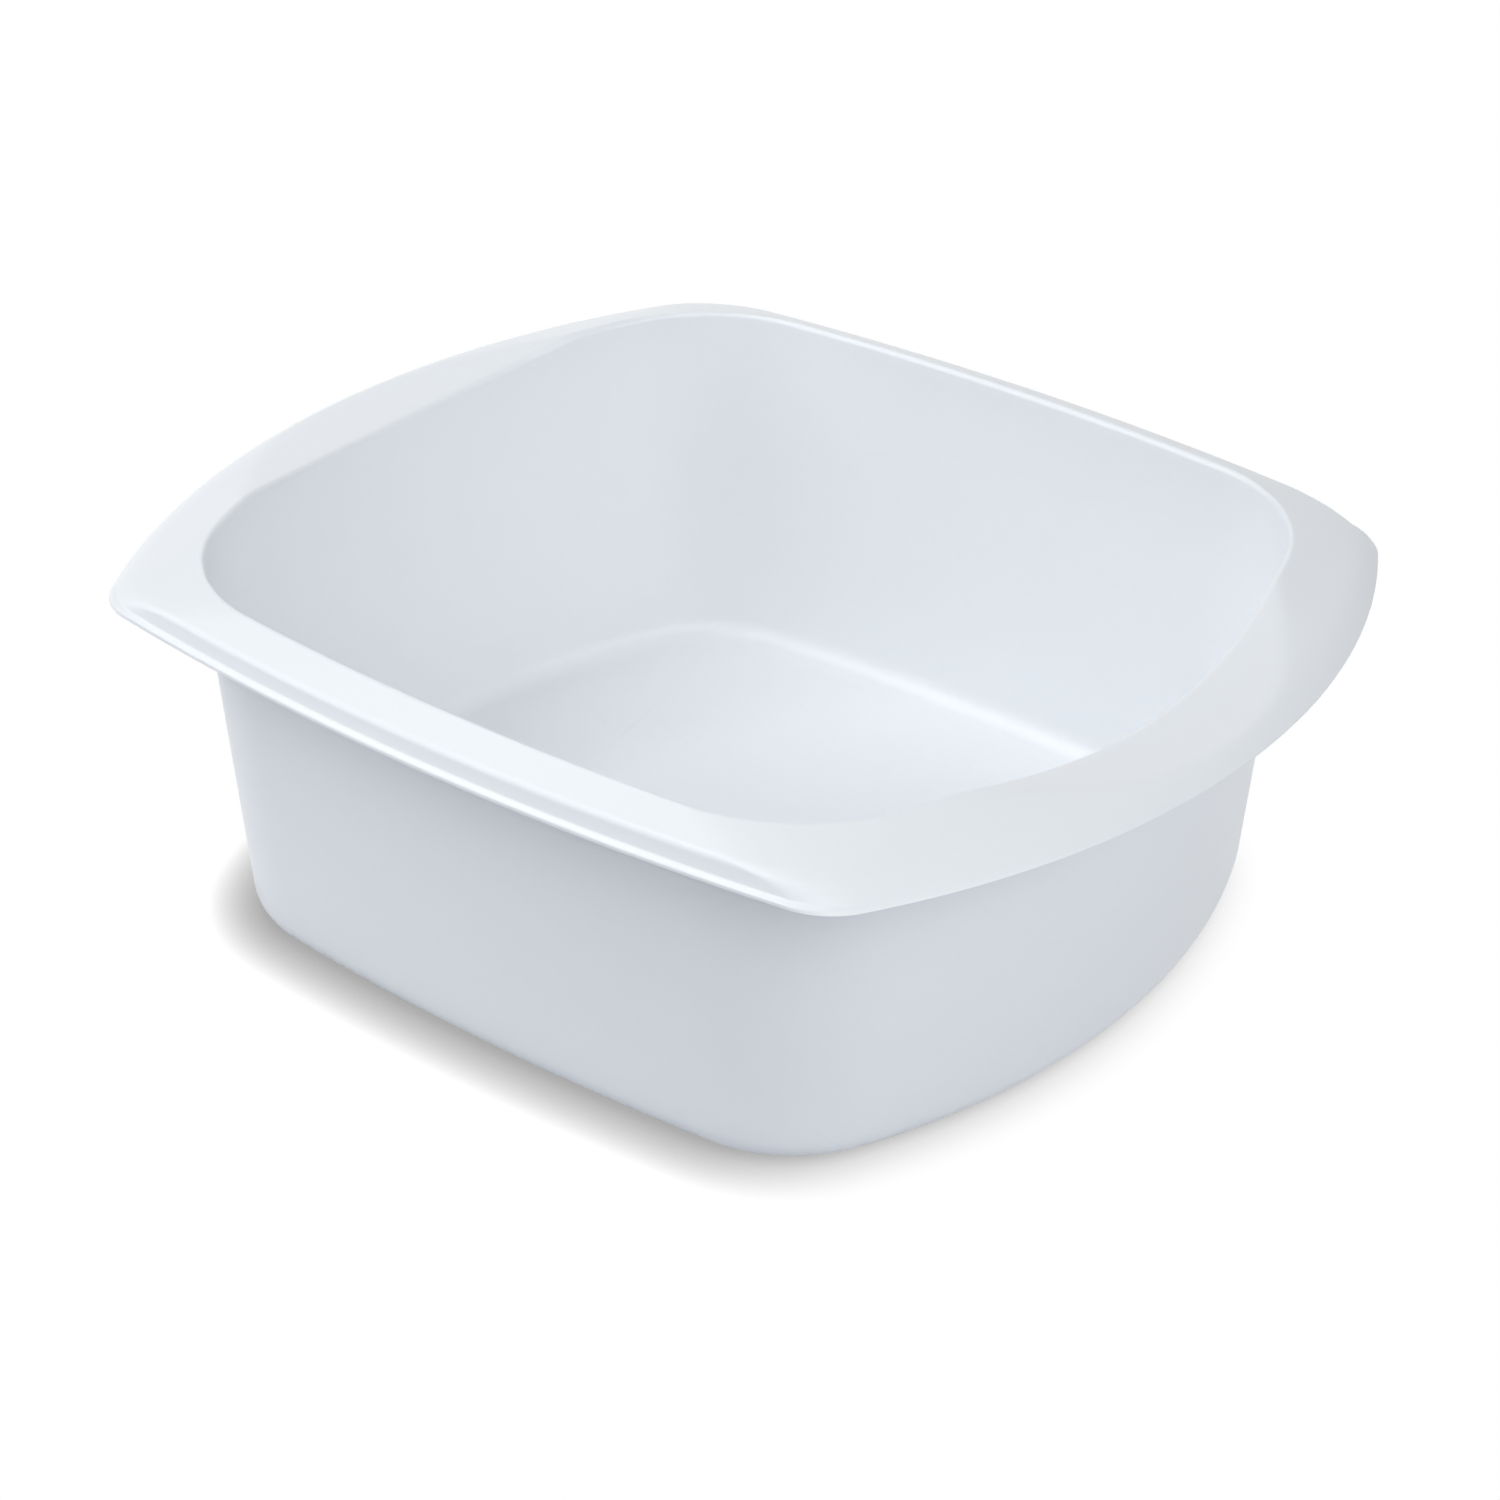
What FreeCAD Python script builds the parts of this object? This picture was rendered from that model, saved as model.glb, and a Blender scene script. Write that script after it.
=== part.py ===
import FreeCAD, Part
import math
import os

from collections import namedtuple
from FreeCAD import Vector

# A rectangular washing up bowl, moulded in one piece: drafted walls bowed outwards on all four sides, a rim
# that turns down into a beaded skirt along the two long sides and rolls over into a wide grip at the two
# ends, and a shallow scoop in the middle of each grip. The origin is the middle of the base on the table,
# X runs along the bowl, Y across it and Z up. All sizes are in millimetres.

# Whole bowl
LENGTH = 390.0               # over the rolled ends
WIDTH = 324.0                # over the beads of the long sides
HEIGHT = 131.5               # from the table to the crest of the rim
WALL = 2.0                   # thickness of walls, flange and skirt
FLOOR = 3.0                  # from the table to the inside floor

# Crest: the highest line of the rim, seen in plan
END_RIM = 31.7               # from the crest out to the lip in the middle of an end
SIDE_RIM = 15.2              # from the crest out to the bead in the middle of a long side
CREST_END_BOW = 282.0        # radius of the bowed ends
CREST_CORNER = 67.0
CREST_ROUND = 2.0            # rounding from the crest down into the bowl

# Walls: the base outline is the outside face carried down to the table
WALL_CORNER = 62.0           # outside corner radius at the height of the crest
END_FLARE = 10.0             # how far an end wall leans out over its height
SIDE_FLARE = 9.8             # how far a long wall leans out over its height
BASE_END_BOW = 245.0
BASE_CORNER = 50.0
SIDE_BOW = 965.0             # radius of the bowed long sides, the same from base to lip
FLOOR_ROUND = 9.0            # inside radius where the walls turn into the floor

# Rim: the flange falls outwards from the crest and bends down over a round shoulder
RIM_DROP = 12.9              # from the crest down to the lower edge of the lip
LIP_END_BOW = 268.0
LIP_CORNER = 24.7
SIDE_DROP = 5.0              # fall of the flange to the shoulder of a long side
SIDE_LEDGE = 3.4             # from that shoulder out to the face of the bead
SIDE_BEND = 1.0              # inside radius of that shoulder
SKIRT_LEAN_SHARE = 0.2       # outward lean of the skirt for each unit of its depth
END_FALL_SHARE = 0.3         # fall of the flange at an end for each unit outwards
END_BEND = 26.0              # inside radius of the roll at an end
BEAD = 2.2                   # depth of the bead along a long side
BEAD_EDGE = 0.6              # fall of the bead's upper face

# Scoop in the middle of each grip
SCOOP_DEPTH = 8.0
SCOOP_WIDTH = 164.0

# Foot: the base panel is raised a little, so that the bowl stands on a flat band around it
FOOT_BAND = 6.0
PANEL_RISE = 1.0
GATE_MARK = 9.0              # diameter of the round dimple left by moulding
GATE_DEPTH = 0.5

OVERRUN = 10.0               # how far a cutting shape runs past what it cuts

# Bands that make up one face
WALL_STEPS = 3               # a wall
FOOT_STEPS = 4               # the rounding between wall and floor
EDGE_STEPS = 2               # the rounding of the crest or a shoulder
ROLL_STEPS = 3               # the roll of a grip

Bend = namedtuple("Bend", "fall radius centre_reach centre_drop lean")


class Outline(namedtuple("Outline", "half_length half_width end_bow side_bow corner")):
    """A closed plan outline: bowed ends and bowed sides joined by tangent corner arcs."""

    def inset(self, distance):
        """The outline moved inwards all round, or outwards by a negative distance."""
        return Outline(*(size - distance for size in self))

    def toward(self, other, share):
        """The outline a share of the way to another one, or past it."""
        return Outline(*(a + (b - a) * share for a, b in zip(self, other)))

    def corner_arc(self):
        """Start, middle and end of the corner arc in the first quadrant, from the end to the side."""
        end_centre = Vector(self.half_length - self.end_bow, 0, 0)
        side_centre = Vector(0, self.half_width - self.side_bow, 0)
        centre = outer_meeting(end_centre, self.end_bow - self.corner, side_centre, self.side_bow - self.corner)
        from_end = (centre - end_centre).normalize()
        from_side = (centre - side_centre).normalize()
        between = (from_end + from_side).normalize()
        return [centre + direction * self.corner for direction in (from_end, between, from_side)]

    def wire(self, height):
        """The outline at a height, as four corner arcs and the four bowed arcs between them."""
        first = self.corner_arc()
        corners = []
        for x_sign, y_sign in ((1, 1), (-1, 1), (-1, -1), (1, -1)):
            points = first if x_sign == y_sign else first[::-1]
            corners.append([Vector(x_sign * p.x, y_sign * p.y, height) for p in points])
        middles = [Vector(0, self.half_width, height), Vector(-self.half_length, 0, height),
                   Vector(0, -self.half_width, height), Vector(self.half_length, 0, height)]
        edges = []
        for corner, middle, following in zip(corners, middles, corners[1:] + corners[:1]):
            edges.append(Part.Arc(*corner).toShape())
            edges.append(Part.Arc(corner[-1], middle, following[0]).toShape())
        return Part.Wire(edges)


def outer_meeting(first, first_radius, second, second_radius):
    """The outer of the two points that lie at the given distances from two centres."""
    line = second - first
    span = line.Length
    along = (first_radius ** 2 - second_radius ** 2 + span ** 2) / (2 * span)
    across = math.sqrt(first_radius ** 2 - along ** 2)
    line.normalize()
    sideways = Vector(line.y, -line.x, 0)
    both = [first + line * along + sideways * sign * across for sign in (1, -1)]
    return max(both, key=lambda point: point.x + point.y)


def loft(wires):
    """A solid with straight faces from each outline to the next."""
    return Part.makeLoft(wires, True, True)


def spread(first, last, steps):
    """Values in even steps, with both ends."""
    return [first + (last - first) * step / steps for step in range(steps + 1)]


def side_bend():
    """Section of the rim along a long side, with reach and drop counted from the crest."""
    shoulder = SIDE_RIM - SIDE_LEDGE
    fall = SIDE_DROP / shoulder
    radius = SIDE_BEND + WALL
    below_flange = radius * math.hypot(1, fall)
    inside_skirt = radius * math.hypot(1, SKIRT_LEAN_SHARE)
    reach = shoulder - inside_skirt + SKIRT_LEAN_SHARE * (below_flange - SIDE_DROP)
    reach /= 1 - SKIRT_LEAN_SHARE * fall
    return Bend(fall, radius, reach, fall * reach + below_flange, SKIRT_LEAN_SHARE)


def end_bend():
    """Section of the rim at an end: the roll is tangent to the flange and passes through the lip."""
    radius = END_BEND + WALL
    steepness = 1 + END_FALL_SHARE ** 2
    below_flange = radius * math.sqrt(steepness)
    lift = below_flange - RIM_DROP
    middle = END_RIM - lift * END_FALL_SHARE
    spare = middle ** 2 - steepness * (END_RIM ** 2 + lift ** 2 - radius ** 2)
    reach = (middle - math.sqrt(spare)) / steepness
    return Bend(END_FALL_SHARE, radius, reach, END_FALL_SHARE * reach + below_flange, 0)


def bend_range(bend, inside):
    """Drops at which the round shoulder begins and ends, on the face that lies inside by a thickness."""
    radius = bend.radius - inside
    start = bend.centre_drop - radius / math.hypot(1, bend.fall)
    stop = bend.centre_drop - radius * bend.lean / math.hypot(1, bend.lean)
    return start, stop


def reach_at(bend, drop, inside):
    """Distance from the crest out to the rim's face at a drop, or to the face inside it."""
    radius = bend.radius - inside
    start, stop = bend_range(bend, inside)
    if drop < start:
        return (drop - inside * math.hypot(1, bend.fall)) / bend.fall
    if drop < stop:
        return bend.centre_reach + math.sqrt(radius ** 2 - (drop - bend.centre_drop) ** 2)
    return bend.centre_reach + radius / math.hypot(1, bend.lean) + (drop - stop) * bend.lean


def rim_outline(side_reach, end_reach):
    """The crest outline moved out by one reach at the sides and another at the ends."""
    grown = crest.toward(lip, end_reach / END_RIM)
    return grown._replace(half_width=crest.half_width + side_reach)


def rim_levels(inside, lowest):
    """Drops of the outlines that carry the rim: crest, shoulder of the sides, roll of the ends."""
    side_start, side_stop = bend_range(side, inside)
    end_start = bend_range(end, inside)[0]
    first = inside * math.hypot(1, side.fall)
    roll_start = max(end_start, side_stop + SIDE_BEND)
    return [first] + spread(side_start, side_stop, EDGE_STEPS) + spread(roll_start, lowest, ROLL_STEPS)


def rim_solid():
    """The rim filled down to the lip, with the bead along its sides and a plug over the mouth."""
    ledge = RIM_DROP - BEAD
    reaches = [(drop, reach_at(side, drop, 0)) for drop in rim_levels(0, ledge)]
    reaches += [(ledge + BEAD_EDGE, SIDE_RIM), (RIM_DROP, SIDE_RIM)]
    wires = [crest.inset(OVERRUN).wire(HEIGHT + OVERRUN)]
    for drop, side_reach in reaches:
        wires.append(rim_outline(side_reach, reach_at(end, drop, 0)).wire(HEIGHT - drop))
    return loft(wires)


def rim_hollow():
    """The space under the rim, a wall's thickness inside it, run out below the lip."""
    wires = []
    for drop in rim_levels(WALL, RIM_DROP) + [RIM_DROP + OVERRUN]:
        outline = rim_outline(reach_at(side, drop, WALL), reach_at(end, drop, WALL))
        wires.append(outline.wire(HEIGHT - drop))
    return loft(wires)


def wall_wires(low, high, radius, floor, top):
    """Outlines of a wall's face from a floor, over the rounding of its foot, up to a height."""
    lean = math.atan2((END_FLARE + SIDE_FLARE) / 2, HEIGHT)
    tangent = radius * math.tan((math.pi / 2 - lean) / 2)
    foot = low.toward(high, floor / HEIGHT)
    wires = []
    for angle in spread(0, math.pi / 2 - lean, FOOT_STEPS):
        inset = tangent - radius * math.sin(angle)
        wires.append(foot.inset(inset).wire(floor + radius * (1 - math.cos(angle))))
    for height in spread(floor + radius * (1 - math.sin(lean)), top, WALL_STEPS)[1:]:
        wires.append(low.toward(high, height / HEIGHT).wire(height))
    return wires


def body_outside():
    """The outside of floor and walls, filled, up into the flange."""
    return loft(wall_wires(base, wall_top, FLOOR_ROUND + WALL, 0, HEIGHT - WALL))


def body_inside():
    """The inside of the bowl, with its mouth rounded out to the crest and run on above it."""
    mouth = wall_top.inset(WALL)
    wires = wall_wires(base.inset(WALL), mouth, FLOOR_ROUND, FLOOR, HEIGHT - 2 * CREST_ROUND)
    for angle in spread(0, math.pi / 2, EDGE_STEPS):
        drop = CREST_ROUND * (1 - math.sin(angle))
        wires.append(mouth.toward(crest, 1 - math.cos(angle)).wire(HEIGHT - drop))
    return loft(wires + [crest.wire(HEIGHT + 2 * OVERRUN)])


def scoop(lowered):
    """The hand's dip at one end: a round trough across the grip, run out past the lip."""
    half = SCOOP_WIDTH / 2
    inner = LENGTH / 2 - END_RIM - 2 * OVERRUN
    top = HEIGHT - lowered
    above = HEIGHT + 2 * OVERRUN
    left, bottom, right = [Vector(inner, y, z) for y, z in ((-half, top), (0, top - SCOOP_DEPTH), (half, top))]
    arc = Part.Arc(left, bottom, right).toShape()
    sides = Part.makePolygon([right, Vector(inner, half, above), Vector(inner, -half, above), left])
    face = Part.Face(Part.Wire([arc] + sides.Edges))
    return face.extrude(Vector(END_RIM + 3 * OVERRUN, 0, 0))


def both_ends(shape):
    """A shape at the far end of X, and its mirror image."""
    return [shape, shape.mirror(Vector(), Vector(1, 0, 0))]


def panel_recess():
    """The raised base panel and the dimple in its middle, as the shape to take away."""
    panel = base.inset(FLOOR_ROUND + WALL + FOOT_BAND)
    recess = loft([panel.wire(-OVERRUN), panel.wire(0), panel.inset(PANEL_RISE).wire(PANEL_RISE)])
    return recess.fuse(Part.makeCylinder(GATE_MARK / 2, PANEL_RISE + GATE_DEPTH))


def bowl():
    """Walls and rim as one filled form, scooped, then opened above, under the rim and under the base."""
    outside = body_outside()
    under_rim = rim_hollow().cut(both_ends(scoop(WALL)) + [outside])
    filled = rim_solid().fuse(outside).cut(both_ends(scoop(0)))
    return filled.cut(body_inside()).cut([under_rim, panel_recess()])


lip = Outline(LENGTH / 2, WIDTH / 2, LIP_END_BOW, SIDE_BOW, LIP_CORNER)
crest = Outline(lip.half_length - END_RIM, lip.half_width - SIDE_RIM, CREST_END_BOW, SIDE_BOW, CREST_CORNER)
wall_top = crest.inset(CREST_ROUND - WALL)._replace(corner=WALL_CORNER)
base = Outline(wall_top.half_length - END_FLARE, wall_top.half_width - SIDE_FLARE, BASE_END_BOW, SIDE_BOW,
               BASE_CORNER)
side = side_bend()
end = end_bend()

os.makedirs("parts", exist_ok=True)
solid = bowl().Solids[0]
solid.exportStep("parts/bowl.step")
box = solid.optimalBoundingBox()
print("bowl", solid.isValid(), round(solid.Volume), [round(v, 2) for v in (box.XLength, box.YLength, box.ZLength)])
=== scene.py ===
import math
from collections import namedtuple
from types import SimpleNamespace

import bpy
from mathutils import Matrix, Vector


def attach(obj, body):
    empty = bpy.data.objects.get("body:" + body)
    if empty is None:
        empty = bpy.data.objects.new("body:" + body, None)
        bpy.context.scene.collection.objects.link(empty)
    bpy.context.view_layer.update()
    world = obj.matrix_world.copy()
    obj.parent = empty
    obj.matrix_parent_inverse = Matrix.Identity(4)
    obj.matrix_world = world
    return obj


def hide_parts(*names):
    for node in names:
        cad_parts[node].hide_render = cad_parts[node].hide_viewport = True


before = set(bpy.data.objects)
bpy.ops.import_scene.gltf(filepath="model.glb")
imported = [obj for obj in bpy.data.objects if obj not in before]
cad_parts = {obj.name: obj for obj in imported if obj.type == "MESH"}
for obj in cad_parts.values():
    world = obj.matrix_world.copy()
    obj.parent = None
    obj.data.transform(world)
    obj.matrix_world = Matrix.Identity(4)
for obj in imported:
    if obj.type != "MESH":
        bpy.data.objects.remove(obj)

bl_info = {
    "name": "Washing Up Bowl",
    "version": (1, 0, 0),
    "blender": (4, 5, 0),
    "location": "3D View > Sidebar > Bowl",
    "description": "Builds a moulded washing up bowl from its sizes, with its plastic, table and light",
    "category": "Add Mesh",
}

# Mesh of the bowl: columns run round it, rows run along its section from the dimple to the inside floor
QUADRANTS = 4
QUADRANT_COLUMNS = 84
END_SHARE = 0.36             # share of a quadrant's columns on the bowed end
CORNER_SHARE = 0.34          # share of them on the corner
ROWS = SimpleNamespace(dimple=1, panel=6, step=2, band=3, foot=10, wall=22, flange_root=3, under_rim=40,
                       lip=6, bead=12, skirt=12, shoulder=10, flange=22, crest=8, inside=28, inside_foot=14,
                       floor=8)
GRID_SIDE = 1.0              # side of the flat grid that each band starts as
WELD = 0.00002               # edges of two bands closer than this are joined
QUARTER_TURN = math.pi / 2

# Plastic: sizes of its patterns, in repeats for each metre, and how far each one changes the surface
CLOUD_SCALE = 5.0            # slow change of tone through the moulding
CLOUD_DETAIL = 1.0
CLOUD_LEVELS = (0.3, 0.7)
CLOUD_TONE = 0.985           # tone of the darker clouds
SATIN_SCALE = 45.0           # patches of duller and brighter polish in the mould
SATIN_DETAIL = 3.0
SATIN_LEVELS = (0.3, 0.7)
SATIN_MIDDLE = 0.5           # level at which the polish has the plain roughness
SATIN_CHANGE = 0.05
GRAIN_SCALE = 1200.0         # fine grain of the mould's polish
GRAIN_DETAIL = 2.0
GRAIN_DEPTH = 0.000004
WAVE_SCALE = 16.0            # slight waviness of the thin walls
WAVE_DETAIL = 0.0
WAVE_DEPTH = 0.00008
SCUFF_STRETCH = (14.0, 1100.0, 14.0)     # few repeats along a hairline and many across it
SCUFF_TURNS = ((0.7, 0.3, 0.4), (-0.8, 0.5, 1.3), (0.5, -0.9, 2.4))
SCUFF_DETAIL = 2.0
SCUFF_LEVELS = (0.66, 0.74)
SCUFF_PATCH_SCALE = 11.0     # soft patches that hold the hairlines
SCUFF_PATCH_DETAIL = 0.0
SCUFF_PATCH_LEVELS = (0.42, 0.75)
SCUFF_TONE = 0.9
SCUFF_ROUGHNESS = 0.15
SCUFF_FULL_HEIGHT = 0.008    # below this, on floor and foot, scuffs are full
SCUFF_REST_HEIGHT = 0.016    # above this, only the share for the walls and the rim is left
SCUFF_REST = 0.3
PLASTIC_IOR = 1.49

# Stage
TABLE_REACH = 6.0            # from the bowl out to the table's edges
TABLE_BOUNCE = (0.65, 0.67, 0.71)        # its colour for the light that it throws back
LAMP_AIM = (0.0, 0.0, 0.07)

# Lamps: side in metres, power in watts, place, and whether the plastic shows the lamp as a highlight
Lamp = namedtuple("Lamp", "name size power place shines")
LAMPS = (
    Lamp("front_left", 2.4, 31.5, (-1.4, -1.2, 1.4), True),
    Lamp("overhead", 1.2, 10.5, (-0.6, -0.7, 2.0), True),
    Lamp("over_left", 0.3, 2.5, (-1.15, 0.27, 1.76), True),
    Lamp("front_right", 1.2, 10.5, (1.1, -1.2, 1.5), True),
    Lamp("right", 1.6, 20.5, (2.0, 0.0, 0.95), True),
    Lamp("back_fill", 1.0, 13.0, (-1.4, 1.75, 0.45), False),
)


def length(name, default, description):
    """A property that holds a length in metres."""
    return bpy.props.FloatProperty(name=name, description=description, default=default, min=0.0,
                                   precision=4, subtype="DISTANCE", unit="LENGTH")


def share(name, default, description):
    """A property that holds a plain ratio."""
    return bpy.props.FloatProperty(name=name, description=description, default=default, min=0.0, max=1.0,
                                   subtype="FACTOR")


def colour(name, default, description):
    """A property that holds a colour."""
    return bpy.props.FloatVectorProperty(name=name, description=description, default=default, size=3,
                                         min=0.0, max=1.0, subtype="COLOR")


def angle(name, default, description):
    """A property that holds an angle, given in degrees."""
    return bpy.props.FloatProperty(name=name, description=description, default=math.radians(default),
                                   subtype="ANGLE", unit="ROTATION")


class BowlSizes(bpy.types.PropertyGroup):
    """Sizes of the bowl, which become the inputs of its node tree."""

    length: length("Length", 0.390, "Over the rolled ends")
    width: length("Width", 0.324, "Over the beads of the long sides")
    height: length("Height", 0.1315, "From the table to the crest of the rim")
    wall: length("Wall", 0.002, "Thickness of walls, flange and skirt")
    floor: length("Floor", 0.003, "From the table to the inside floor")
    end_rim: length("End Rim", 0.0317, "From the crest out to the lip in the middle of an end")
    side_rim: length("Side Rim", 0.0152, "From the crest out to the bead in the middle of a long side")
    side_bow: length("Side Bow", 0.965, "Radius of the bowed long sides")
    crest_end_bow: length("Crest End Bow", 0.282, "Radius of the bowed ends at the crest")
    crest_corner: length("Crest Corner", 0.067, "Corner radius at the crest")
    crest_round: length("Crest Round", 0.002, "Rounding from the crest down into the bowl")
    lip_end_bow: length("Lip End Bow", 0.268, "Radius of the bowed ends at the lip")
    lip_corner: length("Lip Corner", 0.0247, "Corner radius at the lip")
    wall_corner: length("Wall Corner", 0.062, "Outside corner radius of the walls, at the crest")
    end_flare: length("End Flare", 0.010, "How far an end wall leans out over its height")
    side_flare: length("Side Flare", 0.0098, "How far a long wall leans out over its height")
    base_end_bow: length("Base End Bow", 0.245, "Radius of the bowed ends at the base")
    base_corner: length("Base Corner", 0.050, "Corner radius at the base")
    floor_round: length("Floor Round", 0.009, "Inside radius where the walls turn into the floor")
    rim_drop: length("Rim Drop", 0.0129, "From the crest down to the lower edge of the lip")
    side_drop: length("Side Drop", 0.005, "Fall of the flange to the shoulder of a long side")
    side_ledge: length("Side Ledge", 0.0034, "From that shoulder out to the face of the bead")
    side_bend: length("Side Bend", 0.001, "Inside radius of that shoulder")
    skirt_lean: share("Skirt Lean", 0.2, "Outward lean of the skirt for each unit of its depth")
    end_fall: share("End Fall", 0.3, "Fall of the flange at an end for each unit outwards")
    end_bend: length("End Bend", 0.026, "Inside radius of the roll at an end")
    bead: length("Bead", 0.0022, "Depth of the bead along a long side")
    lip_round: length("Lip Round", 0.0004, "Softening of the lip's lower edges")
    scoop_depth: length("Scoop Depth", 0.008, "Depth of the hand's dip in each end")
    scoop_width: length("Scoop Width", 0.164, "Width of the hand's dip in each end")
    scoop_crease: length("Scoop Crease", 0.0012, "Softness of the dip's edge")
    foot_band: length("Foot Band", 0.006, "Width of the flat band that the bowl stands on")
    panel_rise: length("Panel Rise", 0.001, "How far the base panel is raised inside the band")
    gate_mark: length("Gate Mark", 0.009, "Diameter of the round dimple left by moulding")
    gate_depth: length("Gate Depth", 0.0005, "Depth of that dimple")


class BowlFinish(bpy.types.PropertyGroup):
    """Look of the plastic."""

    plastic: colour("Plastic", (0.915, 0.932, 0.952), "Colour of the moulded plastic")
    roughness: share("Roughness", 0.32, "Roughness of the moulded surface")
    scuffs: share("Scuffs", 0.4, "Strength of the hairline scuffs from use")


class BowlStage(bpy.types.PropertyGroup):
    """Light, shadow and camera."""

    lamp_colour: colour("Lamp Colour", (0.95, 0.975, 1.0), "Colour of the soft lamps")
    # The table's shadow is painted: these set the occlusion that darkens its white glow near the bowl's
    # foot
    shadow_reach: length("Shadow Reach", 0.018, "How far the bowl's foot darkens the table")
    shadow_tone: share("Shadow Tone", 0.2, "Tone of the table right under the bowl's edge")
    shadow_lean: bpy.props.FloatVectorProperty(
        name="Shadow Lean", description="Way from which the light on the table comes, added to straight up",
        default=(1.0, 1.1, 0.0), size=3, subtype="XYZ")
    azimuth: angle("Azimuth", 39.045, "Camera's turn about the bowl")
    elevation: angle("Elevation", 30.766, "Camera's height above the horizon")
    distance: length("Distance", 1.3238, "From the camera to the point that it looks at")
    aim: bpy.props.FloatVectorProperty(name="Aim", description="Point that the camera looks at",
                                       default=(0.0055, -0.0067, 0.0555), size=3, subtype="TRANSLATION",
                                       unit="LENGTH")
    lens: bpy.props.FloatProperty(name="Lens", description="Focal length in millimetres", default=94.52,
                                  unit="CAMERA")


class Field:
    """A number in a node tree. Sums with it add Math nodes to the tree."""

    def __init__(self, tree, socket):
        self.tree = tree
        self.socket = socket

    def math(self, operation, *values):
        """The result of a Math node whose first input is this number."""
        node = self.tree.nodes.new("ShaderNodeMath")
        node.operation = operation
        for slot, value in zip(node.inputs, (self, *values)):
            feed(self.tree, slot, value)
        return Field(self.tree, node.outputs[0])

    def __add__(self, other):
        return self.math("ADD", other)

    __radd__ = __add__

    def __sub__(self, other):
        return self.math("SUBTRACT", other)

    def __rsub__(self, other):
        return self.math("MULTIPLY_ADD", -1.0, other)

    def __mul__(self, other):
        return self.math("MULTIPLY", other)

    __rmul__ = __mul__

    def __truediv__(self, other):
        return self.math("DIVIDE", other)

    def squared(self):
        return self.math("MULTIPLY", self)

    def root(self):
        return self.math("MAXIMUM", 0.0).math("SQRT")

    def sin(self):
        return self.math("SINE")

    def cos(self):
        return self.math("COSINE")

    def clamped(self):
        return self.math("MAXIMUM", 0.0).math("MINIMUM", 1.0)

    def between(self, low, high):
        """This number counted from 0 at one level to 1 at another, and held there."""
        return ((self - low) / (high - low)).clamped()

    def below(self, limit, inside, outside):
        """One number where this one is under a limit, and another where it isn't."""
        node = self.tree.nodes.new("GeometryNodeSwitch")
        node.input_type = "FLOAT"
        feed(self.tree, node.inputs[0], self.math("LESS_THAN", limit))
        feed(self.tree, node.inputs[1], outside)
        feed(self.tree, node.inputs[2], inside)
        return Field(self.tree, node.outputs[0])


def feed(tree, slot, value):
    """Links a number of the tree to a node's input, or sets a plain one on it."""
    if isinstance(value, Field):
        tree.links.new(value.socket, slot)
    else:
        slot.default_value = value


def mix(first, second, part):
    """The number a part of the way from one to the other."""
    return first + (second - first) * part


class Outline(SimpleNamespace):
    """A closed plan outline: bowed ends and bowed sides joined by tangent corner arcs."""

    NAMES = ("half_length", "half_width", "end_bow", "side_bow", "corner")

    @classmethod
    def of(cls, *values):
        """The outline with its five sizes in order."""
        return cls(**dict(zip(cls.NAMES, values)))

    def values(self):
        """The five sizes in order."""
        return [getattr(self, name) for name in self.NAMES]

    def inset(self, distance):
        """The outline moved inwards all round."""
        return Outline.of(*(value - distance for value in self.values()))

    def toward(self, other, part):
        """The outline a part of the way to another one."""
        return Outline.of(*(mix(a, b, part) for a, b in zip(self.values(), other.values())))


def new_tree(name, inputs, outputs):
    """An empty geometry node tree, with its inputs as fields in order and its output node."""
    tree = bpy.data.node_groups.new(name, "GeometryNodeTree")
    for label in inputs:
        tree.interface.new_socket(name=label, in_out="INPUT", socket_type="NodeSocketFloat")
    for label, kind in outputs.items():
        tree.interface.new_socket(name=label, in_out="OUTPUT", socket_type=kind)
    given = tree.nodes.new("NodeGroupInput")
    fields = [Field(tree, given.outputs[label]) for label in inputs]
    return tree, fields, tree.nodes.new("NodeGroupOutput")


def outline_tree():
    """Tree for a point of a bowed outline. Turn runs once round from 0 to 4, a quarter for each unit."""
    labels = ("Half Length", "Half Width", "End Bow", "Side Bow", "Corner", "Turn")
    tree, fields, out = new_tree("Bowed Outline", labels, {"X": "NodeSocketFloat", "Y": "NodeSocketFloat"})
    half_length, half_width, end_bow, side_bow, corner, turn = fields
    end_x = half_length - end_bow
    side_y = half_width - side_bow
    span = (end_x.squared() + side_y.squared()).root()
    end_radius = end_bow - corner
    along = (end_radius.squared() - (side_bow - corner).squared() + span.squared()) / (span * 2.0)
    across = (end_radius.squared() - along.squared()).root()
    corner_x = end_x - along * end_x / span - across * side_y / span
    corner_y = along * side_y / span - across * end_x / span
    first = corner_y.math("ARCTAN2", corner_x - end_x)
    last = (corner_y - side_y).math("ARCTAN2", corner_x)

    quarter = turn.math("PINGPONG", 1.0)
    end_turn = first * quarter.between(0.0, END_SHARE)
    corner_turn = mix(first, last, quarter.between(END_SHARE, END_SHARE + CORNER_SHARE))
    side_turn = mix(last, QUARTER_TURN, quarter.between(END_SHARE + CORNER_SHARE, 1.0))
    x = end_x + end_bow * end_turn.cos() + corner * (corner_turn.cos() - first.cos())
    x = x + side_bow * (side_turn.cos() - last.cos())
    y = end_bow * end_turn.sin() + corner * (corner_turn.sin() - first.sin())
    y = y + side_bow * (side_turn.sin() - last.sin())
    feed(tree, out.inputs["X"], x * (turn * QUARTER_TURN).cos().math("SIGN"))
    feed(tree, out.inputs["Y"], y * (turn * QUARTER_TURN).sin().math("SIGN"))
    return tree


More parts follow.
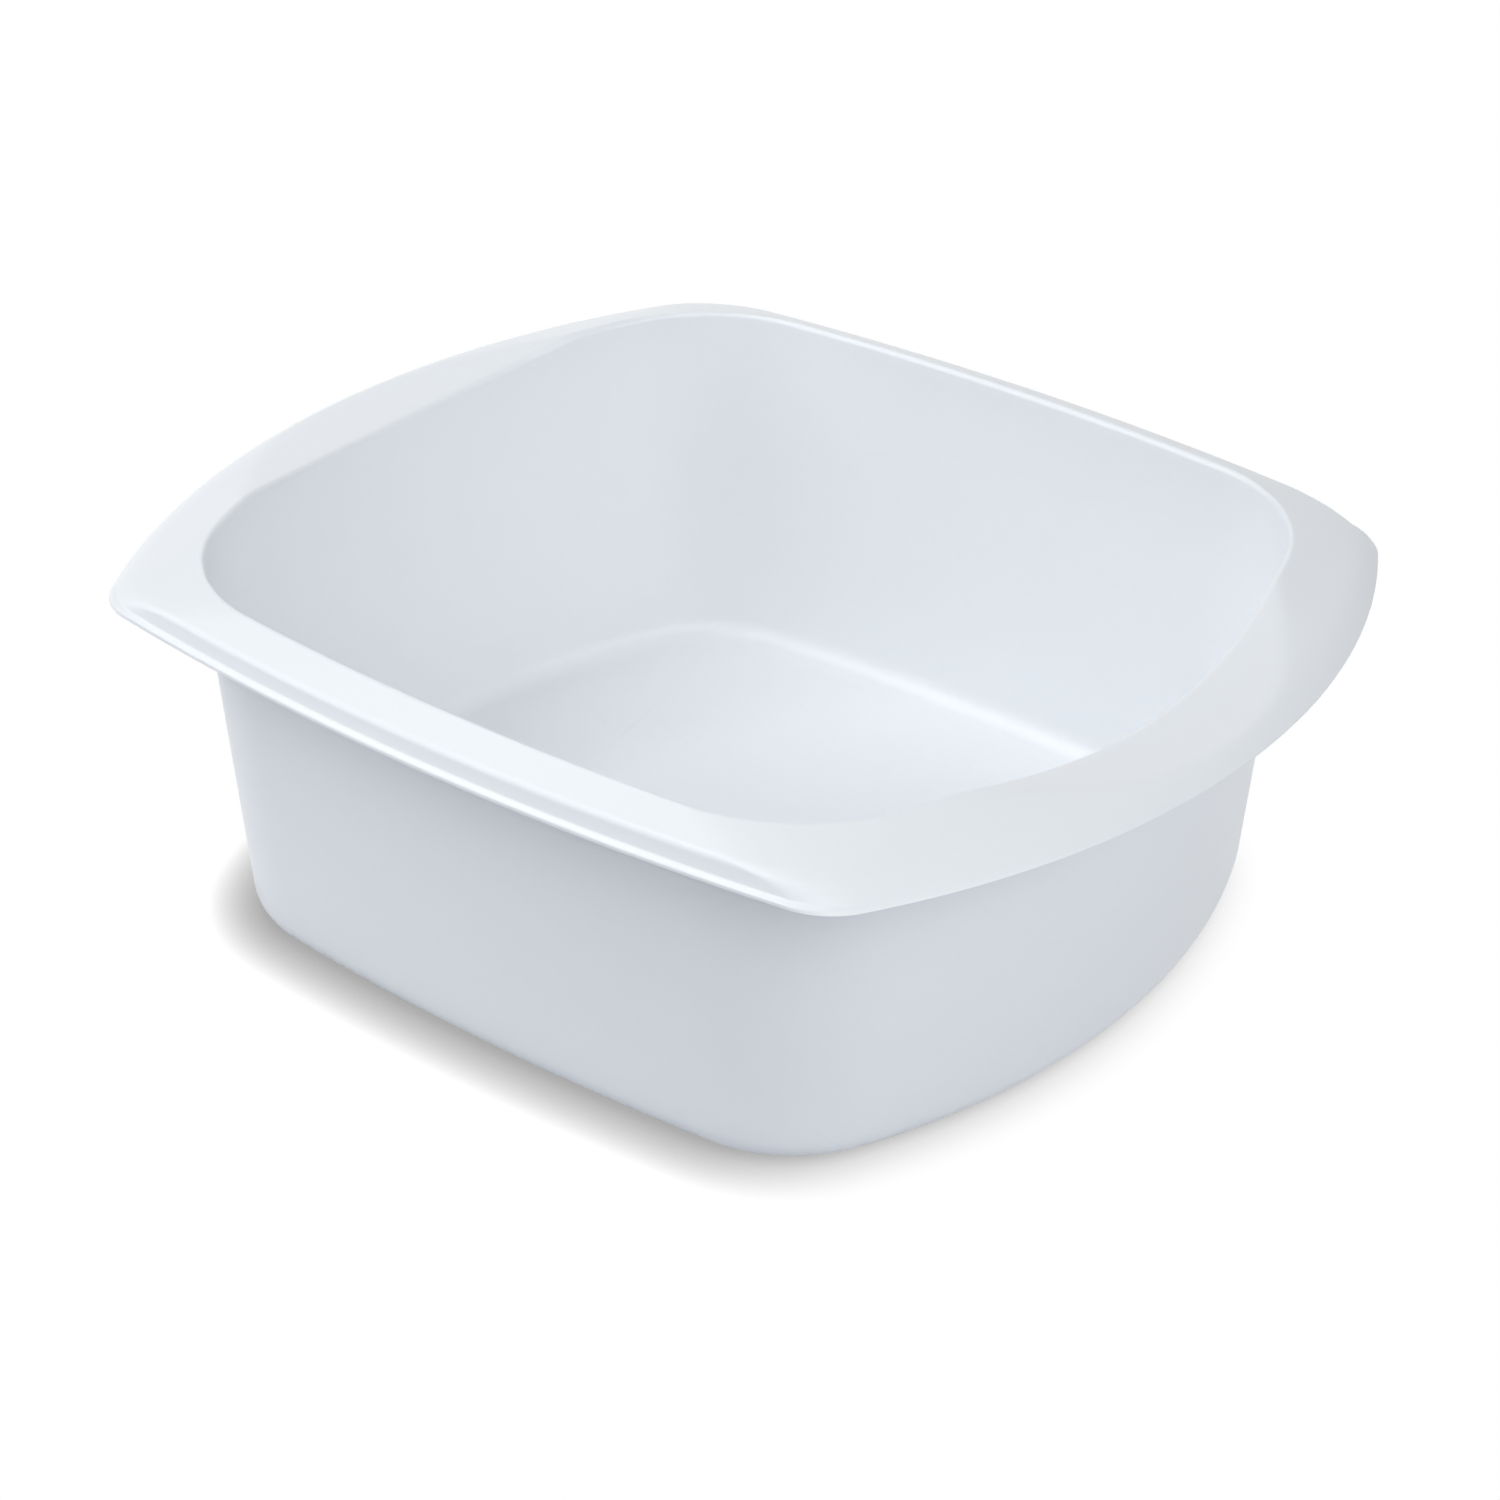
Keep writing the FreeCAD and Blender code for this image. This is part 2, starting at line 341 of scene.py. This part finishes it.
def bend_tree():
    """Tree for the distance from the crest out to the rim's face at a drop, or to the face inside it."""
    labels = ("Drop", "Inside", "Fall", "Radius", "Centre Reach", "Centre Drop", "Lean")
    tree, fields, out = new_tree("Rim Bend", labels, {"Reach": "NodeSocketFloat"})
    drop, inside, fall, outer_radius, centre_reach, centre_drop, lean = fields
    radius = outer_radius - inside
    steep = (fall.squared() + 1.0).root()
    upright = (lean.squared() + 1.0).root()
    start = centre_drop - radius / steep
    stop = centre_drop - radius * lean / upright
    flange = (drop - inside * steep) / fall
    shoulder = centre_reach + (radius.squared() - (drop - centre_drop).squared()).root()
    skirt = centre_reach + radius / upright + (drop - stop) * lean
    feed(tree, out.inputs["Reach"], drop.below(start, flange, drop.below(stop, shoulder, skirt)))
    return tree


class BowlTree:
    """The bowl as a node tree: bands of faces along its section, each swept round its outlines."""

    def __init__(self, labels):
        self.tree, fields, self.out = new_tree("Moulded Bowl", labels.values(),
                                               {"Geometry": "NodeSocketGeometry"})
        self.size = SimpleNamespace(**dict(zip(labels, fields)))
        self.outline_group = outline_tree()
        self.bend_group = bend_tree()
        self.bands = []
        self.set_outlines()
        self.set_bends()

    def node(self, kind, **inputs):
        """A new node with some of its inputs fed."""
        made = self.tree.nodes.new(kind)
        for label, value in inputs.items():
            feed(self.tree, made.inputs[label.replace("_", " ")], value)
        return made

    def set_outlines(self):
        """The outlines at the lip, the crest, the top of the walls and the base."""
        s = self.size
        self.lip = Outline.of(s.length / 2.0, s.width / 2.0, s.lip_end_bow, s.side_bow, s.lip_corner)
        self.crest = Outline.of(self.lip.half_length - s.end_rim, self.lip.half_width - s.side_rim,
                                s.crest_end_bow, s.side_bow, s.crest_corner)
        self.wall_top = self.crest.inset(s.crest_round - s.wall)
        self.wall_top.corner = s.wall_corner
        self.base = Outline.of(self.wall_top.half_length - s.end_flare,
                               self.wall_top.half_width - s.side_flare,
                               s.base_end_bow, s.side_bow, s.base_corner)
        self.lean = ((s.end_flare + s.side_flare) / 2.0).math("ARCTAN2", s.height)

    def set_bends(self):
        """The two sections of the rim: shoulder and skirt at the sides, roll at the ends."""
        s = self.size
        shoulder = s.side_rim - s.side_ledge
        fall = s.side_drop / shoulder
        radius = s.side_bend + s.wall
        steep = (fall.squared() + 1.0).root()
        upright = (s.skirt_lean.squared() + 1.0).root()
        below = radius * steep
        reach = shoulder - radius * upright + s.skirt_lean * (below - s.side_drop)
        reach = reach / (1.0 - s.skirt_lean * fall)
        drop = fall * reach + below
        self.side_bend = (fall, radius, reach, drop, s.skirt_lean)
        self.shoulder_start = drop - radius / steep
        self.shoulder_stop = drop - radius * s.skirt_lean / upright
        self.ledge = s.rim_drop - s.bead
        self.hollow_start = s.wall * steep
        self.lowest = s.rim_drop - s.lip_round

        radius = s.end_bend + s.wall
        steepness = s.end_fall.squared() + 1.0
        below = radius * steepness.root()
        lift = below - s.rim_drop
        middle = s.end_rim - lift * s.end_fall
        spare = middle.squared() - steepness * (s.end_rim.squared() + lift.squared() - radius.squared())
        reach = (middle - spare.root()) / steepness
        self.end_bend = (s.end_fall, radius, reach, s.end_fall * reach + below, 0.0)

    def reach(self, bend, drop, inside):
        """Distance from the crest out to the rim's face at a drop."""
        group = self.tree.nodes.new("GeometryNodeGroup")
        group.node_tree = self.bend_group
        for slot, value in zip(group.inputs, (drop, inside, *bend)):
            feed(self.tree, slot, value)
        return Field(self.tree, group.outputs["Reach"])

    def rim(self, drop, inside, side_reach=None):
        """The rim's outline at a drop below the crest."""
        end_reach = self.reach(self.end_bend, drop, inside)
        grown = self.crest.toward(self.lip, end_reach / self.size.end_rim)
        grown.half_width = self.crest.half_width + (side_reach or self.reach(self.side_bend, drop, inside))
        return grown

    def plan(self, outline, turn):
        """X and Y of an outline's point."""
        group = self.tree.nodes.new("GeometryNodeGroup")
        group.node_tree = self.outline_group
        for slot, value in zip(group.inputs, (*outline.values(), turn)):
            feed(self.tree, slot, value)
        return Field(self.tree, group.outputs["X"]), Field(self.tree, group.outputs["Y"])

    def circle(self, radius, turn):
        """X and Y of a point on a circle."""
        return radius * (turn * QUARTER_TURN).cos(), radius * (turn * QUARTER_TURN).sin()

    def scooped(self, height, y, thickness=0.0):
        """A height, lowered into the hand's dip where that is deeper."""
        s = self.size
        rise = s.scoop_depth * (y / (s.scoop_width / 2.0)).squared()
        dip = s.height - s.scoop_depth + rise - thickness
        return height.math("SMOOTH_MIN", dip, s.scoop_crease)

    def grid(self, rows):
        """A flat grid for one band, with the turn of its columns and the part of its rows."""
        mesh = self.node("GeometryNodeMeshGrid", Size_X=GRID_SIDE, Size_Y=GRID_SIDE, Vertices_Y=rows + 1,
                         Vertices_X=QUADRANTS * QUADRANT_COLUMNS + 1)
        flat = self.tree.nodes.new("GeometryNodeInputPosition")
        parts = self.tree.nodes.new("ShaderNodeSeparateXYZ")
        self.tree.links.new(flat.outputs[0], parts.inputs[0])
        turn = (Field(self.tree, parts.outputs["X"]) + GRID_SIDE / 2.0) * float(QUADRANTS)
        return mesh, turn, Field(self.tree, parts.outputs["Y"]) + GRID_SIDE / 2.0

    def place(self, mesh, x, y, height):
        """Moves a band's grid to its place and keeps it."""
        point = self.node("ShaderNodeCombineXYZ", X=x, Y=y, Z=height)
        moved = self.tree.nodes.new("GeometryNodeSetPosition")
        self.tree.links.new(mesh.outputs["Mesh"], moved.inputs["Geometry"])
        self.tree.links.new(point.outputs[0], moved.inputs["Position"])
        self.bands.append(moved)

    def underside(self):
        """The dimple in the middle of the base, the raised panel round it and the band to stand on."""
        s = self.size
        panel = self.base.inset(s.floor_round + s.wall + s.foot_band)
        radius = s.gate_mark / 2.0
        mesh, turn, part = self.grid(ROWS.dimple)
        self.place(mesh, *self.circle(radius * part, turn), s.panel_rise + s.gate_depth)
        mesh, turn, part = self.grid(ROWS.dimple)
        self.place(mesh, *self.circle(radius, turn), s.panel_rise + s.gate_depth * (1.0 - part))
        mesh, turn, part = self.grid(ROWS.panel)
        inner = self.circle(radius, turn)
        outer = self.plan(panel.inset(s.panel_rise), turn)
        self.place(mesh, *(mix(a, b, part) for a, b in zip(inner, outer)), s.panel_rise)
        mesh, turn, part = self.grid(ROWS.step)
        height = s.panel_rise * (1.0 - part)
        self.place(mesh, *self.plan(panel.inset(height), turn), height)
        mesh, turn, part = self.grid(ROWS.band)
        edge = self.base.inset(self.foot_tangent(s.floor_round + s.wall))
        self.place(mesh, *self.plan(panel.toward(edge, part), turn), 0.0)

    def foot_tangent(self, radius):
        """How far inside the wall's foot a rounding touches the floor."""
        half = (QUARTER_TURN - self.lean) / 2.0
        return radius * half.sin() / half.cos()

    def foot(self, grid, on_floor, on_wall, radius, floor):
        """The rounding between a floor and the walls, from its edge on the one to its edge on the other."""
        mesh, turn, part = grid
        bend = part * (QUARTER_TURN - self.lean)
        outline = on_floor.toward(on_wall, bend.sin() / self.lean.cos())
        self.place(mesh, *self.plan(outline, turn), floor + radius * (1.0 - bend.cos()))

    def outside(self):
        """The outside of foot and walls, up to the underside of the flange."""
        s = self.size
        radius = s.floor_round + s.wall
        lowest = radius * (1.0 - self.lean.sin())
        on_floor = self.base.inset(self.foot_tangent(radius))
        on_wall = self.base.toward(self.wall_top, lowest / s.height)
        self.foot(self.grid(ROWS.foot), on_floor, on_wall, radius, 0.0)
        mesh, turn, part = self.grid(ROWS.wall)
        height = mix(lowest, s.height - s.side_drop, part)
        x, y = self.plan(self.base.toward(self.wall_top, height / s.height), turn)
        self.place(mesh, x, y, self.scooped(height, y, s.wall))
        mesh, turn, part = self.grid(ROWS.flange_root)
        top = self.base.toward(self.wall_top, 1.0 - s.side_drop / s.height)
        x, y = self.plan(top.toward(self.rim(self.hollow_start, s.wall), part), turn)
        drop = mix(s.side_drop, self.hollow_start, part)
        self.place(mesh, x, y, self.scooped(s.height - drop, y, s.wall))

    def under_rim(self):
        """The underside of flange, skirt and roll, and the lower edge of the lip."""
        s = self.size
        mesh, turn, part = self.grid(ROWS.under_rim)
        drop = mix(self.hollow_start, self.lowest, part)
        x, y = self.plan(self.rim(drop, s.wall), turn)
        self.place(mesh, x, y, self.scooped(s.height - drop, y, s.wall))
        mesh, turn, part = self.grid(ROWS.lip)
        edge = self.rim(self.lowest, s.wall).toward(self.rim(self.lowest, 0.0, s.side_rim), part)
        swell = 1.0 - (part * 2.0 - 1.0).squared().squared()
        self.place(mesh, *self.plan(edge, turn), s.height - self.lowest - s.lip_round * swell)

    def over_rim(self):
        """Bead, skirt, shoulder and flange, from the lip up to the crest."""
        s = self.size
        mesh, turn, part = self.grid(ROWS.bead)
        drop = mix(self.lowest, self.ledge, part)
        skirt = self.reach(self.side_bend, self.ledge, 0.0)
        hollow = (part * 2.0 - 1.0).math("MAXIMUM", 0.0)
        swollen = mix(skirt, s.side_rim, (1.0 - hollow.squared()).root())
        x, y = self.plan(self.rim(drop, 0.0, swollen), turn)
        self.place(mesh, x, y, self.scooped(s.height - drop, y))
        for rows, low, high in ((ROWS.skirt, self.ledge, self.shoulder_stop),
                                (ROWS.shoulder, self.shoulder_stop, self.shoulder_start),
                                (ROWS.flange, self.shoulder_start, 0.0)):
            mesh, turn, part = self.grid(rows)
            drop = mix(low, high, part)
            x, y = self.plan(self.rim(drop, 0.0), turn)
            self.place(mesh, x, y, self.scooped(s.height - drop, y))

    def inside(self):
        """The rounding of the crest, the inside of the walls, the foot and the floor."""
        s = self.size
        mouth = self.wall_top.inset(s.wall)
        low = self.base.inset(s.wall)
        mesh, turn, part = self.grid(ROWS.crest)
        crest_height = self.scooped(s.height, self.plan(self.crest, turn)[1])
        edge = low.toward(mouth, (crest_height - s.crest_round) / s.height)
        bend = (1.0 - part) * QUARTER_TURN
        outline = edge.toward(self.crest, 1.0 - bend.cos())
        self.place(mesh, *self.plan(outline, turn), crest_height - s.crest_round * (1.0 - bend.sin()))
        mesh, turn, part = self.grid(ROWS.inside)
        crest_height = self.scooped(s.height, self.plan(self.crest, turn)[1])
        lowest = s.floor + s.floor_round * (1.0 - self.lean.sin())
        height = mix(crest_height - s.crest_round, lowest, part)
        self.place(mesh, *self.plan(low.toward(mouth, height / s.height), turn), height)
        mesh, turn, part = self.grid(ROWS.inside_foot)
        on_floor = low.toward(mouth, s.floor / s.height).inset(self.foot_tangent(s.floor_round))
        on_wall = low.toward(mouth, lowest / s.height)
        self.foot((mesh, turn, 1.0 - part), on_floor, on_wall, s.floor_round, s.floor)
        mesh, turn, part = self.grid(ROWS.floor)
        x, y = self.plan(on_floor, turn)
        self.place(mesh, x * (1.0 - part), y * (1.0 - part), s.floor)

    def finish(self, material):
        """Joins the bands, welds their edges and sets the plastic."""
        for band in (self.underside, self.outside, self.under_rim, self.over_rim, self.inside):
            band()
        joined = self.tree.nodes.new("GeometryNodeJoinGeometry")
        for band in self.bands:
            self.tree.links.new(band.outputs["Geometry"], joined.inputs["Geometry"])
        before = joined
        for step in (self.node("GeometryNodeMergeByDistance", Distance=WELD),
                     self.tree.nodes.new("GeometryNodeSetShadeSmooth"),
                     self.tree.nodes.new("GeometryNodeRealizeInstances"),
                     self.node("GeometryNodeSetMaterial", Material=material)):
            self.tree.links.new(before.outputs[0], step.inputs["Geometry"])
            before = step
        self.tree.links.new(before.outputs[0], self.out.inputs["Geometry"])
        return self.tree


class PlasticTree:
    """White moulded plastic: faint clouding, satin patches, mould grain, wavy walls and hairline scuffs."""

    def __init__(self, finish):
        self.finish = finish
        self.material = bpy.data.materials.new("white_plastic")
        self.material.use_nodes = True
        self.tree = self.material.node_tree
        self.shader = self.tree.nodes["Principled BSDF"]
        self.spot = self.tree.nodes.new("ShaderNodeTexCoord").outputs["Object"]

    def noise(self, scale, detail, spot=None):
        """A noise in the bowl's own coordinates, or in given ones."""
        node = self.tree.nodes.new("ShaderNodeTexNoise")
        node.inputs["Scale"].default_value = scale
        node.inputs["Detail"].default_value = detail
        self.tree.links.new(spot or self.spot, node.inputs["Vector"])
        return Field(self.tree, node.outputs["Fac"])

    def hairlines(self, turn):
        """Fine lines that run in one direction."""
        turned = self.tree.nodes.new("ShaderNodeMapping")
        turned.vector_type = "TEXTURE"
        turned.inputs["Rotation"].default_value = turn
        self.tree.links.new(self.spot, turned.inputs["Vector"])
        drawn = self.tree.nodes.new("ShaderNodeVectorMath")
        drawn.operation = "MULTIPLY"
        drawn.inputs[1].default_value = SCUFF_STRETCH
        self.tree.links.new(turned.outputs["Vector"], drawn.inputs[0])
        return self.noise(1.0, SCUFF_DETAIL, drawn.outputs["Vector"]).between(*SCUFF_LEVELS)

    def scuffs(self):
        """Hairlines in a few directions, in soft patches, most of them low down on floor and foot."""
        lines = sum(self.hairlines(turn) for turn in SCUFF_TURNS)
        patches = self.noise(SCUFF_PATCH_SCALE, SCUFF_PATCH_DETAIL).between(*SCUFF_PATCH_LEVELS)
        parts = self.tree.nodes.new("ShaderNodeSeparateXYZ")
        self.tree.links.new(self.spot, parts.inputs[0])
        low = Field(self.tree, parts.outputs["Z"]).between(SCUFF_REST_HEIGHT, SCUFF_FULL_HEIGHT)
        return lines.clamped() * patches * mix(SCUFF_REST, 1.0, low) * self.finish.scuffs

    def tone(self, base, factor, darker):
        """A colour, made a little darker where the factor is high."""
        node = self.tree.nodes.new("ShaderNodeMix")
        node.data_type = "RGBA"
        node.blend_type = "MULTIPLY"
        feed(self.tree, node.inputs["Factor"], factor)
        if isinstance(base, bpy.types.NodeSocket):
            self.tree.links.new(base, node.inputs["A"])
        else:
            node.inputs["A"].default_value = (*base, 1.0)
        node.inputs["B"].default_value = (darker, darker, darker, 1.0)
        return node.outputs["Result"]

    def relief(self, height, depth, before=None):
        """A bump of a given depth, laid over the one before it."""
        node = self.tree.nodes.new("ShaderNodeBump")
        node.inputs["Distance"].default_value = depth
        feed(self.tree, node.inputs["Height"], height)
        if before:
            self.tree.links.new(before, node.inputs["Normal"])
        return node.outputs["Normal"]

    def made(self):
        """The finished material."""
        scuffs = self.scuffs()
        clouds = self.noise(CLOUD_SCALE, CLOUD_DETAIL).between(*CLOUD_LEVELS)
        satin = self.noise(SATIN_SCALE, SATIN_DETAIL).between(*SATIN_LEVELS)
        colour_now = self.tone(self.finish.plastic, clouds, CLOUD_TONE)
        self.tree.links.new(self.tone(colour_now, scuffs, SCUFF_TONE), self.shader.inputs["Base Color"])
        rough = self.finish.roughness + (satin - SATIN_MIDDLE) * SATIN_CHANGE + scuffs * SCUFF_ROUGHNESS
        feed(self.tree, self.shader.inputs["Roughness"], rough)
        waves = self.relief(self.noise(WAVE_SCALE, WAVE_DETAIL), WAVE_DEPTH)
        grain = self.relief(self.noise(GRAIN_SCALE, GRAIN_DETAIL), GRAIN_DEPTH, waves)
        self.tree.links.new(grain, self.shader.inputs["Normal"])
        self.shader.inputs["IOR"].default_value = PLASTIC_IOR
        return self.material


class BOWL_OT_moulding(bpy.types.Operator):
    """Build the moulded bowl in place of its plain solid"""

    bl_idname = "bowl.moulding"
    bl_label = "Moulding"

    def execute(self, context):
        sizes = context.scene.bowl_sizes
        labels = {name: sizes.bl_rna.properties[name].name for name in own_properties(sizes)}
        tree = BowlTree(labels).finish(PlasticTree(context.scene.bowl_finish).made())
        mould = bpy.data.objects.new("mould", bpy.data.meshes.new("mould"))
        context.scene.collection.objects.link(mould)
        modifier = mould.modifiers.new("Moulded Bowl", "NODES")
        modifier.node_group = tree
        sockets = {item.name: item.identifier for item in tree.interface.items_tree
                   if item.in_out == "INPUT"}
        for name, label in labels.items():
            modifier[sockets[label]] = getattr(sizes, name)
        mould.update_tag()
        graph = context.evaluated_depsgraph_get()
        mesh = bpy.data.meshes.new_from_object(mould.evaluated_get(graph))
        bpy.data.objects.remove(mould)
        if not mesh.polygons:
            raise RuntimeError("the bowl's node tree made no faces")
        mesh.name = "bowl_moulding"
        piece = bpy.data.objects.new("bowl_moulding", mesh)
        context.scene.collection.objects.link(piece)
        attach(piece, "root")
        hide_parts("bowl")
        return {"FINISHED"}


class BOWL_OT_stage(bpy.types.Operator):
    """Build the table, the light and the camera"""

    bl_idname = "bowl.stage"
    bl_label = "Stage"

    def execute(self, context):
        scene = context.scene
        table_top(scene)
        studio_light(scene)
        camera(scene)
        scene.view_settings.view_transform = "Standard"
        return {"FINISHED"}


def table_top(scene):
    """A wide pale table top, white to the eye, with a painted shadow close to the bowl's foot."""
    mesh = bpy.data.meshes.new("table_top")
    corners = [(x * TABLE_REACH, y * TABLE_REACH, 0.0) for x, y in ((-1, -1), (1, -1), (1, 1), (-1, 1))]
    mesh.from_pydata(corners, [], [(0, 1, 2, 3)])
    mesh.materials.append(table_material(scene.bowl_stage))
    table = bpy.data.objects.new("table_top", mesh)
    scene.collection.objects.link(table)


def table_material(stage):
    """Pale card for the light that it throws back, white where it is seen, with a painted shadow under the
    bowl's edge.
    """
    material = bpy.data.materials.new("table_white")
    material.use_nodes = True
    tree = material.node_tree
    tree.nodes.clear()
    card = tree.nodes.new("ShaderNodeBsdfDiffuse")
    card.inputs["Color"].default_value = (*TABLE_BOUNCE, 1.0)
    upright = tree.nodes.new("ShaderNodeNewGeometry").outputs["Normal"]
    leaning = tree.nodes.new("ShaderNodeVectorMath")
    leaning.operation = "ADD"
    tree.links.new(upright, leaning.inputs[0])
    leaning.inputs[1].default_value = stage.shadow_lean
    # Painted shadow: an occlusion node, leaned one way, darkens the table's white glow near the bowl's
    # foot; no lamp casts it
    painted_shadow = tree.nodes.new("ShaderNodeAmbientOcclusion")
    painted_shadow.inputs["Distance"].default_value = stage.shadow_reach
    tree.links.new(leaning.outputs["Vector"], painted_shadow.inputs["Normal"])
    seen = tree.nodes.new("ShaderNodeEmission")
    feed(tree, seen.inputs["Strength"], mix(stage.shadow_tone, 1.0, Field(tree, painted_shadow.outputs["AO"])))
    choice = tree.nodes.new("ShaderNodeMixShader")
    feed(tree, choice.inputs["Fac"], seen_or_reflected(tree))
    tree.links.new(card.outputs[0], choice.inputs[1])
    tree.links.new(seen.outputs[0], choice.inputs[2])
    output = tree.nodes.new("ShaderNodeOutputMaterial")
    tree.links.new(choice.outputs[0], output.inputs["Surface"])
    return material


def seen_or_reflected(tree):
    """One for what the eye sees, straight, in a reflection or through glass, and zero for other light."""
    path = tree.nodes.new("ShaderNodeLightPath")
    seen, glossy, through = (Field(tree, path.outputs[f"Is {kind} Ray"])
                             for kind in ("Camera", "Glossy", "Transmission"))
    return seen.math("MAXIMUM", glossy).math("MAXIMUM", through)


def studio_light(scene):
    """Large soft lamps round the bowl, in a room that is white to the eye and gives no light of its own."""
    world = bpy.data.worlds.new("studio")
    scene.world = world
    world.use_nodes = True
    tree = world.node_tree
    room = tree.nodes["Background"]
    room.inputs["Color"].default_value = (1.0, 1.0, 1.0, 1.0)
    feed(tree, room.inputs["Strength"], seen_or_reflected(tree))
    for lamp in LAMPS:
        data = bpy.data.lights.new(lamp.name, "AREA")
        data.shape = "SQUARE"
        data.size = lamp.size
        data.energy = lamp.power
        data.color = scene.bowl_stage.lamp_colour
        holder = bpy.data.objects.new(lamp.name, data)
        holder.location = lamp.place
        holder.visible_glossy = lamp.shines
        holder.rotation_euler = (Vector(LAMP_AIM) - holder.location).to_track_quat("-Z", "Y").to_euler()
        scene.collection.objects.link(holder)


def camera(scene):
    """A camera on a circle round the bowl, looking at the aim."""
    stage = scene.bowl_stage
    across = math.cos(stage.elevation)
    back = Vector((math.sin(stage.azimuth) * across, -math.cos(stage.azimuth) * across,
                   math.sin(stage.elevation)))
    data = bpy.data.cameras.new("camera")
    data.lens = stage.lens
    eye = bpy.data.objects.new("camera", data)
    eye.location = Vector(stage.aim) + back * stage.distance
    eye.rotation_euler = (-back).to_track_quat("-Z", "Y").to_euler()
    scene.collection.objects.link(eye)
    scene.camera = eye


def own_properties(group):
    """Names of the properties that a group declares itself."""
    return [name for name in group.bl_rna.properties.keys() if name not in ("rna_type", "name")]


class BOWL_PT_panel(bpy.types.Panel):
    """Sidebar panel of the bowl"""

    bl_idname = "BOWL_PT_panel"
    bl_label = "Washing Up Bowl"
    bl_space_type = "VIEW_3D"
    bl_region_type = "UI"
    bl_category = "Bowl"

    def draw(self, context):
        scene = context.scene
        for operator, groups in ((BOWL_OT_moulding, (scene.bowl_sizes, scene.bowl_finish)),
                                 (BOWL_OT_stage, (scene.bowl_stage,))):
            self.layout.operator(operator.bl_idname)
            for group in groups:
                for name in own_properties(group):
                    self.layout.prop(group, name)


GROUPS = {"bowl_sizes": BowlSizes, "bowl_finish": BowlFinish, "bowl_stage": BowlStage}
CLASSES = (*GROUPS.values(), BOWL_OT_moulding, BOWL_OT_stage, BOWL_PT_panel)


def register():
    """Makes the sizes, the operators and the panel known."""
    for item in CLASSES:
        bpy.utils.register_class(item)
    for name, group in GROUPS.items():
        setattr(bpy.types.Scene, name, bpy.props.PointerProperty(type=group))


def unregister():
    """Takes them out again."""
    for name in GROUPS:
        delattr(bpy.types.Scene, name)
    for item in reversed(CLASSES):
        bpy.utils.unregister_class(item)


def main():
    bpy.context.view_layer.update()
    register()
    bpy.ops.bowl.moulding()
    bpy.ops.bowl.stage()


if __name__ == "__main__":
    main()
